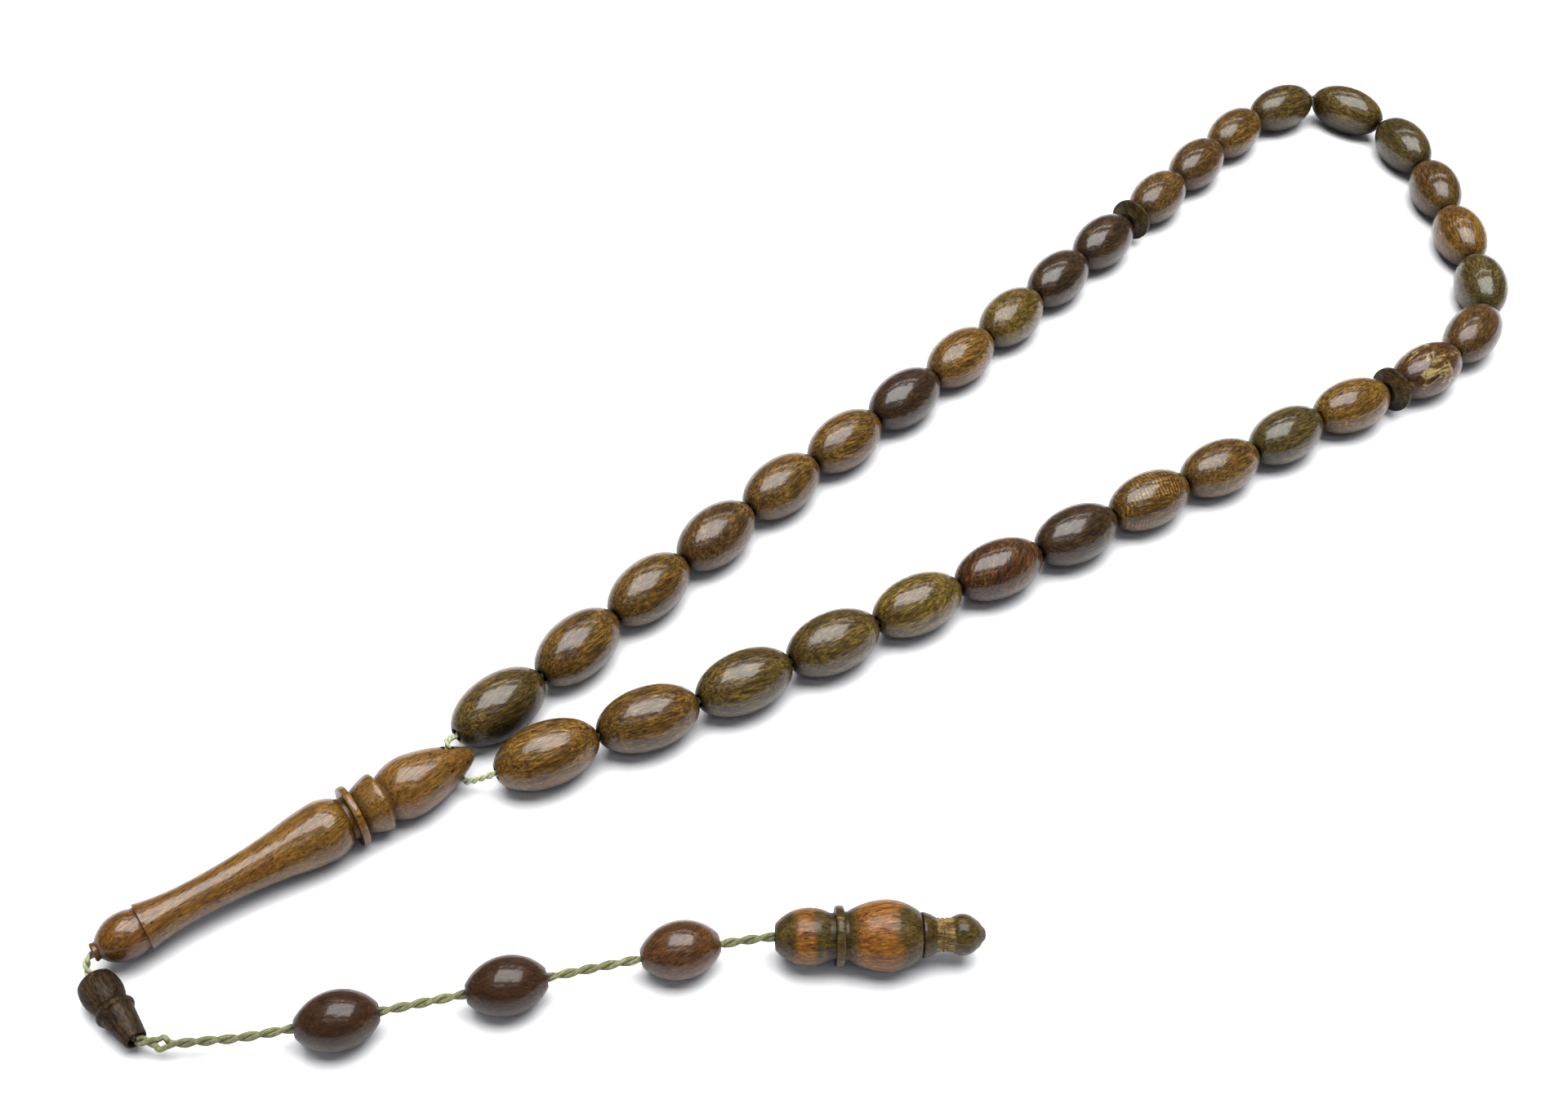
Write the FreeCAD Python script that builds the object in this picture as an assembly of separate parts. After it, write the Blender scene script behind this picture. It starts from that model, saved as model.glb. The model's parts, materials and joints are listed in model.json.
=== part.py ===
"""Misbaha: thirty-three turned wooden beads on a knotted cord, lying on a table.

Millimetres, +Z up, the table at Z = 0. The loop of beads lies along X, with the long
leader piece (the imame) at its -X end and the cord tail on the -Y side. The origin is
near the middle of the wooden pieces' box.
"""
import FreeCAD, Part
import math
import os

V = FreeCAD.Vector

# Loop beads: olive shaped, cut flat at both ends round the bore.
BEAD_COUNT = 33
GROUP_COUNT = 11
BEAD_LENGTH = 12.0
BEAD_DIA = 7.5
BEAD_FACE_DIA = 2.0
BEAD_BORE = 1.5
BORE_CHAMFER = 0.15
STRAND_GAP = 0.2
DIVIDER_ROOM = (1.0, 0.0)

# Dividers: thin discs with a sharp rim, one after each group of beads.
DIVIDER_DIA = 6.4
DIVIDER_LENGTH = 2.4
DIVIDER_HUB_DIA = 3.0
DIVIDER_RIM = 0.5
DIVIDER_DISH = 0.12

# Cords.
CORD_DIA = 0.8
TAIL_CORD_DIA = 1.0
CORD_ROOM = 0.08
MIN_CROSSING = 0.1

# Leader piece, sizes along its axis from the tip.
IMAME_LENGTH = 43.5
IMAME_TIP_DIA = 1.7
OGIVE_DIA = 7.0
OGIVE_MAX_AT = 7.4
OGIVE_END = 10.9
OGIVE_GROOVE_DIA = 5.2
COLLAR_DIA = 6.8
COLLAR_START = 11.4
COLLAR_END = 13.6
COLLAR_END_DIA = 5.5
RING_DIA = 7.1
RING_START = 14.3
RING_WIDTH = 0.8
RING_GROOVE_DIA = 4.6
NECK_DIA = 5.0
NECK_WIDTH = 0.5
VASE_DIA = 6.8
VASE_MAX_AT = 18.8
FLANK_DIA = 5.56
FLANK_FROM_END = 20.6
WAIST_DIA = 4.06
WAIST_FROM_END = 11.1
STEP_DIA = 5.2
STEP_FROM_END = 5.2
STEP_DEPTH = 0.3
STEP_WIDTH = 0.35
END_BULB_DIA = 5.1
END_BULB_FROM_END = 3.5
NIPPLE_ROOT_DIA = 2.6
NIPPLE_DIA = 2.1
NIPPLE_LENGTH = 0.8
IMAME_BORE = 1.3
HIDDEN_KNOT_DIA = 1.2
CROSS_HOLE_AT = 2.5
CROSS_HOLE_DIA = 1.4
CROSS_HOLE_TILT = 58.0
IMAME_TIP = V(-71.6, 11.8, 0)
IMAME_TURN = 176.1

# Stopper, sizes along its axis from the leader's side.
STOPPER_LENGTH = 8.7
STOPPER_TOP_DIA = 3.0
STOPPER_BULB_DIA = 4.1
STOPPER_BULB_AT = 2.1
STOPPER_NECK_DIA = 3.1
STOPPER_NECK_AT = 3.8
STOPPER_RING_DIA = 4.0
STOPPER_RING_AT = 4.25
STOPPER_RING_WIDTH = 0.6
STOPPER_CONE_DIA = 3.4
STOPPER_END_DIA = 2.3
STOPPER_BORE = 1.3
STOPPER_FROM_NIPPLE = V(-1.2, -1.9, 0)
STOPPER_TURN = -87.0

# Tail beads: lemon shaped, cut flat at both ends.
TAIL_BEAD_LENGTH = 8.2
TAIL_BEAD_DIA = 6.1
TAIL_BEAD_FACE_DIA = 1.9
TAIL_BEAD_BORE = 1.5
TAIL_BEAD_AT = (7.7, 24.5, 42.4)

# Finial, sizes along its axis from the cord's side.
FINIAL_BODY_LENGTH = 15.2
FINIAL_FACE_DIA = 2.7
FINIAL_BULB1_DIA = 5.9
FINIAL_BULB1_AT = 3.2
FINIAL_NECK1_DIA = 4.8
FINIAL_RING_DIA = 6.3
FINIAL_RING_AT = 6.2
FINIAL_RING_WIDTH = 0.9
FINIAL_NECK2_DIA = 5.0
FINIAL_BULB2_DIA = 7.4
FINIAL_BULB2_AT = 11.6
FINIAL_END_DIA = 4.8
FINIAL_BORE = 1.5
FINIAL_CHAMBER_DIA = 3.0
FINIAL_TURN = -38.1
CAP_LENGTH = 6.7
CAP_RIM_DIA = 4.7
CAP_RIM_WIDTH = 0.3
CAP_GROOVE_DIA = 3.5
CAP_GROOVE_START = 1.6
CAP_GROOVE_END = 3.2
CAP_BALL_DIA = 4.25
CAP_BALL_AT = 4.1
CAP_SHOULDER_DIA = 3.9
CAP_SHOULDER_AT = 5.0
CAP_TIP_DIA = 1.5
CAP_TIP_ROUND = 0.35
CAP_SPIGOT_LENGTH = 2.6
SEAM = 0.12
GLUE_GAP = 0.02
KNOT_DIA = 2.0
KNOT_SPARE = 0.8

# Countersunk cord mouths of the stopper and the finial.
MOUTH_DEPTH = 0.7
MOUTH_EDGE = 0.15

# Eye knotted into the cord below the stopper.
EYE_AT = 2.5
EYE_NECK_GAP = 0.1
EYE_DIA = 1.3
EYE_CORD_DIA = 0.7

# Heights of the threaded pieces' axes above the table.
LOOP_Z = BEAD_DIA / 2
TAIL_Z = TAIL_BEAD_DIA / 2
FINIAL_Z = FINIAL_BULB2_DIA / 2

# The strand's line: from the leader's cross hole, up one side, round the far turn and
# back. Its corners lie where two beads meet.
LOOP_ROUTE = [
    V(-74.0, 13.3, 5.7), V(-72.9, 14.1, 5.0), V(-72.0, 14.8, LOOP_Z), V(-59.4, 15.8, LOOP_Z),
    V(-47.4, 18.0, LOOP_Z), V(-35.4, 19.9, LOOP_Z), V(-23.4, 21.8, LOOP_Z), V(-11.2, 23.1, LOOP_Z),
    V(0.9, 24.4, LOOP_Z), V(13.0, 25.6, LOOP_Z), V(25.1, 27.3, LOOP_Z), V(37.1, 29.3, LOOP_Z),
    V(49.1, 31.4, LOOP_Z), V(65.8, 34.0, LOOP_Z), V(77.7, 36.2, LOOP_Z), V(89.7, 38.4, LOOP_Z),
    V(102.0, 40.3, LOOP_Z), V(114.6, 38.0, LOOP_Z), V(117.3, 25.4, LOOP_Z), V(112.2, 13.6, LOOP_Z),
    V(104.6, 3.9, LOOP_Z), V(97.2, -6.0, LOOP_Z), V(88.3, -14.6, LOOP_Z), V(75.8, -17.0, LOOP_Z),
    V(60.8, -15.6, LOOP_Z), V(48.9, -12.9, LOOP_Z), V(36.7, -11.9, LOOP_Z), V(24.7, -9.9, LOOP_Z),
    V(12.6, -8.2, LOOP_Z), V(0.5, -6.5, LOOP_Z), V(-11.5, -4.3, LOOP_Z), V(-23.6, -2.4, LOOP_Z),
    V(-35.6, -0.5, LOOP_Z), V(-47.6, 1.6, LOOP_Z), V(-59.3, 4.9, LOOP_Z), V(-71.7, 7.8, LOOP_Z),
    V(-73.1, 9.1, 2.6), V(-74.1, 10.3, 1.5),
]
STRAND_START = 2

# The tail cord's line, from the eye to the finial's mouth.
TAIL_ROUTE = [
    V(-113.1, 1.6, 1.7), V(-110.4, -0.4, 2.3), V(-106.6, -3.45, TAIL_Z), V(-62.9, -24.8, TAIL_Z),
    V(-60.2, -27.3, FINIAL_Z),
]
TAIL_STRAIGHT = 2

# The short bend of cord between the leader and the stopper: how far it reaches into each,
# how far out it starts to turn, and the middle of the bend.
LINK_INSIDE = 1.2
LINK_OUTSIDE = 0.5
LINK_BEND_FROM_NIPPLE = V(-1.15, -0.6, -0.75)


def direction(turn):
    """Level unit vector at an angle from +X, counter-clockwise from above."""
    return V(math.cos(math.radians(turn)), math.sin(math.radians(turn)), 0)


def turned(start, outline, bore=0.0):
    """Solid of revolution about X; a step of two numbers is a line to (x, radius), and a
    step of four is an arc through the first pair to the second."""
    here = V(start[0], start[1], 0)
    first, edges = here, []
    for step in outline:
        there = V(step[-2], step[-1], 0)
        if len(step) == 4:
            edges.append(Part.Arc(here, V(step[0], step[1], 0), there).toShape())
        else:
            edges.append(Part.LineSegment(here, there).toShape())
        here = there
    inner_end, inner_start = V(here.x, bore / 2, 0), V(first.x, bore / 2, 0)
    for a, b in ((here, inner_end), (inner_end, inner_start), (inner_start, first)):
        if a.distanceToPoint(b) > 1e-6:
            edges.append(Part.LineSegment(a, b).toShape())
    return Part.Face(Part.Wire(edges)).revolve(V(0, 0, 0), V(1, 0, 0), 360)


def place(shape, point, along):
    """Copy of a shape made about +X, put at a point and turned to lie along a vector."""
    moved = shape.copy()
    moved.Placement = FreeCAD.Placement(point, FreeCAD.Rotation(V(1, 0, 0), along))
    return moved


def cylinder(dia, start, end):
    """Cylinder on the X axis between two stations."""
    return Part.makeCylinder(dia / 2, end - start, V(start, 0, 0), V(1, 0, 0))


def countersink(bore, mouth, depth, at, along):
    """Cone that opens a bore from its own width to a mouth at one station."""
    return Part.makeCone(mouth / 2, bore / 2, depth, V(at, 0, 0), V(along, 0, 0))


def olive(length, dia, face_dia, bore):
    """Olive bead centred on the origin, an ellipse turned about X and cut flat."""
    half_axis = length / 2 / math.sqrt(1 - (face_dia / dia) ** 2)
    ellipse = Part.Ellipse(V(0, 0, 0), half_axis, dia / 2)
    side = Part.ArcOfEllipse(ellipse, math.asin(face_dia / dia), math.pi - math.asin(face_dia / dia))
    ends = [V(x, r, 0) for x, r in (
        (-length / 2, face_dia / 2), (-length / 2, bore / 2),
        (length / 2, bore / 2), (length / 2, face_dia / 2))]
    edges = [side.toShape()] + [Part.LineSegment(a, b).toShape() for a, b in zip(ends, ends[1:])]
    bead = Part.Face(Part.Wire(edges)).revolve(V(0, 0, 0), V(1, 0, 0), 360)
    for end in (-1, 1):
        mouth = countersink(bore, bore + 2 * BORE_CHAMFER, BORE_CHAMFER, end * length / 2, -end)
        bead = bead.cut(mouth)
    return bead


def lemon(length, dia, face_dia, bore):
    """Bead centred on the origin, an arc turned about X and cut flat, countersunk."""
    bead = turned((-length / 2, face_dia / 2), [(0, dia / 2, length / 2, face_dia / 2)], bore)
    for end in (-1, 1):
        mouth = countersink(bore, bore + 2 * BORE_CHAMFER, BORE_CHAMFER, end * length / 2, -end)
        bead = bead.cut(mouth)
    return bead


def make_divider():
    """Disc with dished faces that rise to a narrow rim."""
    half, rim, hub = DIVIDER_LENGTH / 2, DIVIDER_RIM / 2, DIVIDER_HUB_DIA / 2
    edge = DIVIDER_DIA / 2
    middle = ((half + rim) / 2 - DIVIDER_DISH, (hub + edge) / 2)
    outline = [(-half, hub), (-middle[0], middle[1], -rim, edge), (rim, edge),
               (middle[0], middle[1], half, hub)]
    return turned((-half, BEAD_BORE / 2 + BORE_CHAMFER), outline, BEAD_BORE)


def make_imame():
    """Long leader piece: ogive, collar, ring, vase, step and nipple."""
    waist_at, step_at = IMAME_LENGTH - WAIST_FROM_END, IMAME_LENGTH - STEP_FROM_END
    nipple_at = IMAME_LENGTH - NIPPLE_LENGTH
    ring_end = RING_START + RING_WIDTH
    neck_end = ring_end + NECK_WIDTH
    flank_at = IMAME_LENGTH - FLANK_FROM_END
    outline = [
        (0.35, IMAME_TIP_DIA / 2),
        (OGIVE_MAX_AT * 0.42, OGIVE_DIA * 0.335, OGIVE_MAX_AT, OGIVE_DIA / 2),
        ((OGIVE_MAX_AT + OGIVE_END) / 2 + 0.2, OGIVE_DIA * 0.475, OGIVE_END, OGIVE_GROOVE_DIA / 2),
        (COLLAR_START, COLLAR_DIA / 2),
        (COLLAR_START + 0.4, COLLAR_DIA / 2),
        ((COLLAR_START + COLLAR_END) / 2 + 0.2, (COLLAR_DIA + COLLAR_END_DIA) / 4 + 0.05,
         COLLAR_END, COLLAR_END_DIA / 2),
        (RING_START, RING_GROOVE_DIA / 2),
        (RING_START, RING_DIA / 2 - 0.1),
        (RING_START + RING_WIDTH / 2, RING_DIA / 2, ring_end, RING_DIA / 2 - 0.1),
        (ring_end, NECK_DIA / 2),
        (neck_end, NECK_DIA / 2),
        ((neck_end + VASE_MAX_AT) / 2 - 0.4, VASE_DIA * 0.47, VASE_MAX_AT, VASE_DIA / 2),
        ((VASE_MAX_AT + flank_at) / 2, VASE_DIA / 4 + FLANK_DIA / 4 + 0.07, flank_at, FLANK_DIA / 2),
        ((flank_at + waist_at) / 2, (FLANK_DIA + WAIST_DIA) / 4 - 0.18, waist_at, WAIST_DIA / 2),
        ((waist_at + step_at) / 2, WAIST_DIA / 2 + 0.1, step_at, STEP_DIA / 2),
        (step_at, STEP_DIA / 2 - STEP_DEPTH),
        (step_at + STEP_WIDTH, STEP_DIA / 2 - STEP_DEPTH),
        (IMAME_LENGTH - END_BULB_FROM_END, END_BULB_DIA / 2, nipple_at, NIPPLE_ROOT_DIA / 2),
        (nipple_at + 0.25, NIPPLE_DIA / 2 - 0.1),
        (IMAME_LENGTH - 0.15, NIPPLE_DIA / 2),
        (IMAME_LENGTH, NIPPLE_DIA / 2 - 0.15),
    ]
    body = turned((0, IMAME_TIP_DIA / 2 - 0.35), outline)
    body = body.cut(cylinder(IMAME_BORE, CROSS_HOLE_AT, IMAME_LENGTH + 1))
    hole = Part.makeCylinder(CROSS_HOLE_DIA / 2, 2 * OGIVE_DIA, V(0, 0, -OGIVE_DIA), V(0, 0, 1))
    hole.Placement = FreeCAD.Placement(
        V(CROSS_HOLE_AT, 0, 0), FreeCAD.Rotation(V(1, 0, 0), 90 - CROSS_HOLE_TILT))
    return body.cut(hole)


def make_stopper():
    """Stopper: a bulb, a ring and a cone in one turned piece, countersunk at both ends."""
    ring_end = STOPPER_RING_AT + STOPPER_RING_WIDTH
    outline = [
        (0.3, STOPPER_TOP_DIA / 2 + 0.3),
        (STOPPER_BULB_AT, STOPPER_BULB_DIA / 2, STOPPER_NECK_AT, STOPPER_NECK_DIA / 2),
        (STOPPER_RING_AT, STOPPER_RING_DIA / 2 - 0.15),
        (STOPPER_RING_AT + STOPPER_RING_WIDTH / 2, STOPPER_RING_DIA / 2,
         ring_end, STOPPER_RING_DIA / 2 - 0.15),
        (ring_end + 0.15, STOPPER_CONE_DIA / 2),
        (STOPPER_LENGTH - 0.15, STOPPER_END_DIA / 2),
        (STOPPER_LENGTH, STOPPER_END_DIA / 2 - 0.12),
    ]
    body = turned((0, STOPPER_TOP_DIA / 2), outline, STOPPER_BORE)
    top_mouth = STOPPER_TOP_DIA - 2 * MOUTH_EDGE
    end_mouth = STOPPER_END_DIA - 0.24 - 2 * MOUTH_EDGE
    body = body.cut(countersink(STOPPER_BORE, top_mouth, MOUTH_DEPTH, 0, 1))
    return body.cut(countersink(STOPPER_BORE, end_mouth, MOUTH_DEPTH, STOPPER_LENGTH, -1))


def chamber_start():
    """Station where the finial's chamber starts: the spigot and the knot fit in it."""
    return FINIAL_BODY_LENGTH - CAP_SPIGOT_LENGTH - KNOT_DIA - 2 * KNOT_SPARE


def make_finial_body():
    """Finial's bored body: two bulbs with a ring between, and the knot's chamber."""
    ring_end = FINIAL_RING_AT + FINIAL_RING_WIDTH
    bulb1_end = FINIAL_RING_AT - 0.5
    rise, fall = (ring_end + 0.4 + FINIAL_BULB2_AT) / 2, (FINIAL_BULB2_AT + FINIAL_BODY_LENGTH) / 2
    outline = [
        (FINIAL_BULB1_AT, FINIAL_BULB1_DIA / 2, bulb1_end, FINIAL_NECK1_DIA / 2),
        (FINIAL_RING_AT, FINIAL_NECK1_DIA / 2),
        (FINIAL_RING_AT, FINIAL_RING_DIA / 2 - 0.12),
        (FINIAL_RING_AT + FINIAL_RING_WIDTH / 2, FINIAL_RING_DIA / 2,
         ring_end, FINIAL_RING_DIA / 2 - 0.12),
        (ring_end, FINIAL_NECK2_DIA / 2),
        (ring_end + 0.4, FINIAL_NECK2_DIA / 2),
        (rise, FINIAL_BULB2_DIA / 2 - 0.3, FINIAL_BULB2_AT, FINIAL_BULB2_DIA / 2),
        (fall, FINIAL_BULB2_DIA / 2 - 0.34, FINIAL_BODY_LENGTH - SEAM, FINIAL_END_DIA / 2),
        (FINIAL_BODY_LENGTH, FINIAL_END_DIA / 2 - SEAM),
    ]
    body = turned((0, FINIAL_FACE_DIA / 2), outline, FINIAL_BORE)
    mouth = FINIAL_FACE_DIA - 2 * MOUTH_EDGE
    body = body.cut(countersink(FINIAL_BORE, mouth, MOUTH_DEPTH, 0, 1))
    return body.cut(cylinder(FINIAL_CHAMBER_DIA, chamber_start(), FINIAL_BODY_LENGTH + 1))


def make_finial_cap():
    """Finial's end cap: rim, grooved neck, ball and the spigot glued into the body."""
    at = FINIAL_BODY_LENGTH
    spigot_dia = FINIAL_CHAMBER_DIA - 2 * GLUE_GAP
    neck_middle = at + (CAP_GROOVE_START + CAP_GROOVE_END) / 2
    ball_end = at + CAP_LENGTH
    outline = [
        (at - CAP_SPIGOT_LENGTH, spigot_dia / 2),
        (at, spigot_dia / 2),
        (at, CAP_RIM_DIA / 2 - SEAM),
        (at + SEAM, CAP_RIM_DIA / 2),
        (at + CAP_RIM_WIDTH, CAP_RIM_DIA / 2),
        (at + 0.9, CAP_GROOVE_DIA / 2 + 0.4, at + CAP_GROOVE_START, CAP_GROOVE_DIA / 2),
        (neck_middle - 0.25, CAP_GROOVE_DIA / 2),
        (neck_middle, CAP_GROOVE_DIA / 2 - 0.08, neck_middle + 0.25, CAP_GROOVE_DIA / 2),
        (at + CAP_GROOVE_END, CAP_GROOVE_DIA / 2),
        (at + CAP_BALL_AT, CAP_BALL_DIA / 2, at + CAP_SHOULDER_AT, CAP_SHOULDER_DIA / 2),
        (ball_end - CAP_TIP_ROUND, CAP_TIP_DIA / 2),
        (ball_end - 0.1, CAP_TIP_DIA / 2 - 0.16, ball_end, CAP_TIP_DIA / 2 - 0.45),
    ]
    return turned((at - CAP_SPIGOT_LENGTH, 0), outline)


def walk(route, start, reach):
    """Place on the route's line, as (run, share of the run), that lies a straight
    distance on from a start place, or None past the end."""
    origin = point_at(route, start)
    run, share = start
    while run < len(route) - 1:
        a, b = route[run], route[run + 1]
        along, offset = b - a, a - origin
        square = along.dot(along)
        half = along.dot(offset)
        inside = half * half - square * (offset.dot(offset) - reach * reach)
        if inside >= 0:
            answer = (math.sqrt(inside) - half) / square
            if share <= answer <= 1:
                return run, answer
        run, share = run + 1, 0.0
    return None


def point_at(route, spot):
    """Point of the route at a place."""
    run, share = spot
    return route[run] + (route[run + 1] - route[run]) * share


def strand():
    """Names, kinds, middles and axes of the pieces threaded on the loop, in order."""
    line = LOOP_ROUTE[STRAND_START:len(LOOP_ROUTE) - STRAND_START]
    order = []
    for count in range(1, BEAD_COUNT + 1):
        group, place_in_group = divmod(count, GROUP_COUNT)
        last = place_in_group == 0 and count < BEAD_COUNT
        gap = STRAND_GAP + (DIVIDER_ROOM[group - 1] / 2 if last else 0.0)
        order.append((f"bead_{count:02d}", "bead", BEAD_LENGTH, gap))
        if last:
            order.append((f"divider_{group}", "divider", DIVIDER_LENGTH, gap))
    pieces, here, heading = [], walk(line, (0, 0.0), STRAND_GAP), None
    for name, kind, length, gap in order:
        start = here
        for _ in range(6):
            end = walk(line, start, length)
            if end is None:
                return pieces
            axis = (point_at(line, end) - point_at(line, start)).normalize()
            turn = heading.getAngle(axis) if heading else 0.0
            start = walk(line, here, max(BEAD_FACE_DIA * math.tan(turn / 2), 1e-3))
            if start is None:
                return pieces
        first, last = point_at(line, start), point_at(line, end)
        axis = (last - first).normalize()
        pieces.append((name, kind, first + axis * (length / 2), axis, length))
        here, heading = walk(line, end, gap), axis
        if here is None:
            return pieces
    return pieces


def junctions(pieces):
    """Corners of the cord between threaded pieces, where their axes cross, each with its
    distance from the nearer piece."""
    corners = []
    for (_, _, middle, axis, length), (_, _, middle2, axis2, length2) in zip(pieces, pieces[1:]):
        end, start = middle + axis * (length / 2), middle2 - axis2 * (length2 / 2)
        corner, turn = (end + start) * 0.5, axis.cross(axis2).z
        if abs(turn) > MIN_CROSSING:
            corner = end + axis * ((start - end).cross(axis2).z / turn)
        reach = min(corner.distanceToPoint(end), corner.distanceToPoint(start))
        corners.append((corner, reach))
    return corners


def cord(name, points, dia, room=None):
    """Round tube along straight runs joined by tangent arcs. A point may come as a pair with
    its distance from the piece beside it, in whose bore an arc may leave its run by `room`."""
    reaches = [point[1] if isinstance(point, tuple) else None for point in points]
    points = [point[0] if isinstance(point, tuple) else point for point in points]
    edges, here, radii = [], points[0], []
    for before, corner, after, reach in zip(points, points[1:], points[2:], reaches[1:]):
        run_in, run_out = corner - before, after - corner
        turn = run_in.getAngle(run_out)
        if turn < 0.002:
            continue
        share = math.tan(turn / 2)
        radius = 0.45 * min(run_in.Length, run_out.Length) / share
        if reach is not None:
            lap, tilt = reach * share, dia / 2 * (1 / math.cos(turn / 2) - 1)
            free = max(room - tilt, CORD_ROOM / 4)
            limit = (free + lap + math.sqrt(free * free + 2 * free * lap)) / share ** 2
            radius = min(radius, limit)
        radii.append(radius)
        cut = radius * share
        first = corner - run_in.normalize() * cut
        last = corner + run_out.normalize() * cut
        bow = (first + last) * 0.5 - corner
        middle = corner + bow.normalize() * (radius / math.cos(turn / 2) - radius)
        edges.append(Part.LineSegment(here, first).toShape())
        edges.append(Part.Arc(first, middle, last).toShape())
        here = last
    edges.append(Part.LineSegment(here, points[-1]).toShape())
    path = Part.Wire(edges)
    ring = Part.Wire(Part.Circle(points[0], points[1] - points[0], dia / 2).toShape())
    tube = path.makePipe(Part.Face(ring))
    share = tube.Volume / (math.pi * dia * dia / 4 * path.Length)
    print(f"{name}: length {path.Length:.1f}, volume share {share:.4f}, "
          f"radii {' '.join(f'{r:.1f}' for r in radii)}")
    return tube


def make_loop_cord(pieces):
    """Cord of the loop, from the leader's cross hole through every piece and back."""
    axis = direction(IMAME_TURN)
    side = V(axis.y, -axis.x, 0)
    tilt = math.radians(CROSS_HOLE_TILT)
    drill = side * math.cos(tilt) + V(0, 0, math.sin(tilt))
    centre = imame_origin() + axis * CROSS_HOLE_AT
    start = drill * (HIDDEN_KNOT_DIA / 2 + GLUE_GAP)
    points = [centre + start] + LOOP_ROUTE[:STRAND_START + 1] + junctions(pieces)
    points += LOOP_ROUTE[-STRAND_START - 1:] + [centre - start]
    return cord("loop_cord", points, CORD_DIA, (BEAD_BORE - CORD_DIA) / 2 - CORD_ROOM)


def imame_origin():
    """Leader's tip, with the axis at the height where its ring touches the table."""
    return V(IMAME_TIP.x, IMAME_TIP.y, RING_DIA / 2)


def stopper_origin():
    """Middle of the stopper's upper face, with the axis where its bulb touches the table."""
    spot = imame_origin() + direction(IMAME_TURN) * IMAME_LENGTH + STOPPER_FROM_NIPPLE
    return V(spot.x, spot.y, STOPPER_BULB_DIA / 2)


def make_tail_eye(mouth, along):
    """Eye of cord below the stopper: a short neck and a small flat ring."""
    neck_length = EYE_AT - EYE_DIA / 2 - EYE_NECK_GAP
    neck = Part.makeCylinder(CORD_DIA / 2, neck_length, mouth + along * EYE_NECK_GAP, along)
    ring = Part.makeTorus(EYE_DIA / 2, EYE_CORD_DIA / 2, mouth + along * EYE_AT, V(0, 0, 1))
    return neck.fuse(ring).removeSplitter()


def build():
    """All nodes of the part, by name."""
    nodes = {}
    blanks = {"bead": olive(BEAD_LENGTH, BEAD_DIA, BEAD_FACE_DIA, BEAD_BORE), "divider": make_divider()}
    pieces = strand()
    for name, kind, middle, axis, _ in pieces:
        nodes[name] = place(blanks[kind], middle, axis)
    nodes["loop_cord"] = make_loop_cord(pieces)

    tip, imame_axis = imame_origin(), direction(IMAME_TURN)
    nodes["imame"] = place(make_imame(), tip, imame_axis)
    inner = cylinder(CORD_DIA, CROSS_HOLE_AT, IMAME_LENGTH - LINK_INSIDE)
    knot = Part.makeSphere(HIDDEN_KNOT_DIA / 2, V(CROSS_HOLE_AT, 0, 0))
    nodes["imame_cord"] = place(inner.fuse(knot), tip, imame_axis)

    nipple = tip + imame_axis * IMAME_LENGTH
    stopper_at, stopper_axis = stopper_origin(), direction(STOPPER_TURN)
    nodes["stopper"] = place(make_stopper(), stopper_at, stopper_axis)
    through = cylinder(CORD_DIA, LINK_INSIDE, STOPPER_LENGTH - MOUTH_DEPTH / 2)
    nodes["stopper_cord"] = place(through, stopper_at, stopper_axis)
    link = [nipple - imame_axis * LINK_INSIDE, nipple + imame_axis * LINK_OUTSIDE]
    link += [nipple + LINK_BEND_FROM_NIPPLE]
    link += [stopper_at - stopper_axis * LINK_OUTSIDE, stopper_at + stopper_axis * LINK_INSIDE]
    nodes["link_cord"] = cord("link_cord", link, CORD_DIA)

    mouth = stopper_at + stopper_axis * STOPPER_LENGTH
    eye_axis = (TAIL_ROUTE[0] - mouth).normalize()
    nodes["tail_eye"] = make_tail_eye(mouth, eye_axis)
    eye_end = mouth + eye_axis * (EYE_AT + EYE_DIA / 2)
    nodes["tail_cord"] = cord("tail_cord", [eye_end] + TAIL_ROUTE[1:], TAIL_CORD_DIA)

    start, end = TAIL_ROUTE[TAIL_STRAIGHT], TAIL_ROUTE[TAIL_STRAIGHT + 1]
    tail_axis = (end - start).normalize()
    tail_bead = lemon(TAIL_BEAD_LENGTH, TAIL_BEAD_DIA, TAIL_BEAD_FACE_DIA, TAIL_BEAD_BORE)
    for count, distance in enumerate(TAIL_BEAD_AT, 1):
        nodes[f"tail_bead_{count}"] = place(tail_bead, start + tail_axis * distance, tail_axis)

    finial_at, finial_axis = TAIL_ROUTE[-1], direction(FINIAL_TURN)
    nodes["finial_body"] = place(make_finial_body(), finial_at, finial_axis)
    nodes["finial_cap"] = place(make_finial_cap(), finial_at, finial_axis)
    knot_at = chamber_start() + KNOT_SPARE + KNOT_DIA / 2
    stub = cylinder(TAIL_CORD_DIA, MOUTH_DEPTH, knot_at)
    end_knot = stub.fuse(Part.makeSphere(KNOT_DIA / 2, V(knot_at, 0, 0)))
    nodes["end_knot"] = place(end_knot, finial_at, finial_axis)
    return nodes


if __name__ == "__main__":
    os.makedirs("parts", exist_ok=True)
    for node, shape in build().items():
        shape.exportStep(f"parts/{node}.step")
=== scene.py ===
"""Misbaha: thirty-three turned wooden beads on a twisted cord, with a leader piece, a
stopper and a tail that ends in a finial, lying on a pale table."""
import json
import math
import random

import bpy
import numpy as np
from bpy.props import FloatProperty, FloatVectorProperty, IntProperty, PointerProperty
from mathutils import Matrix, Vector


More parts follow.
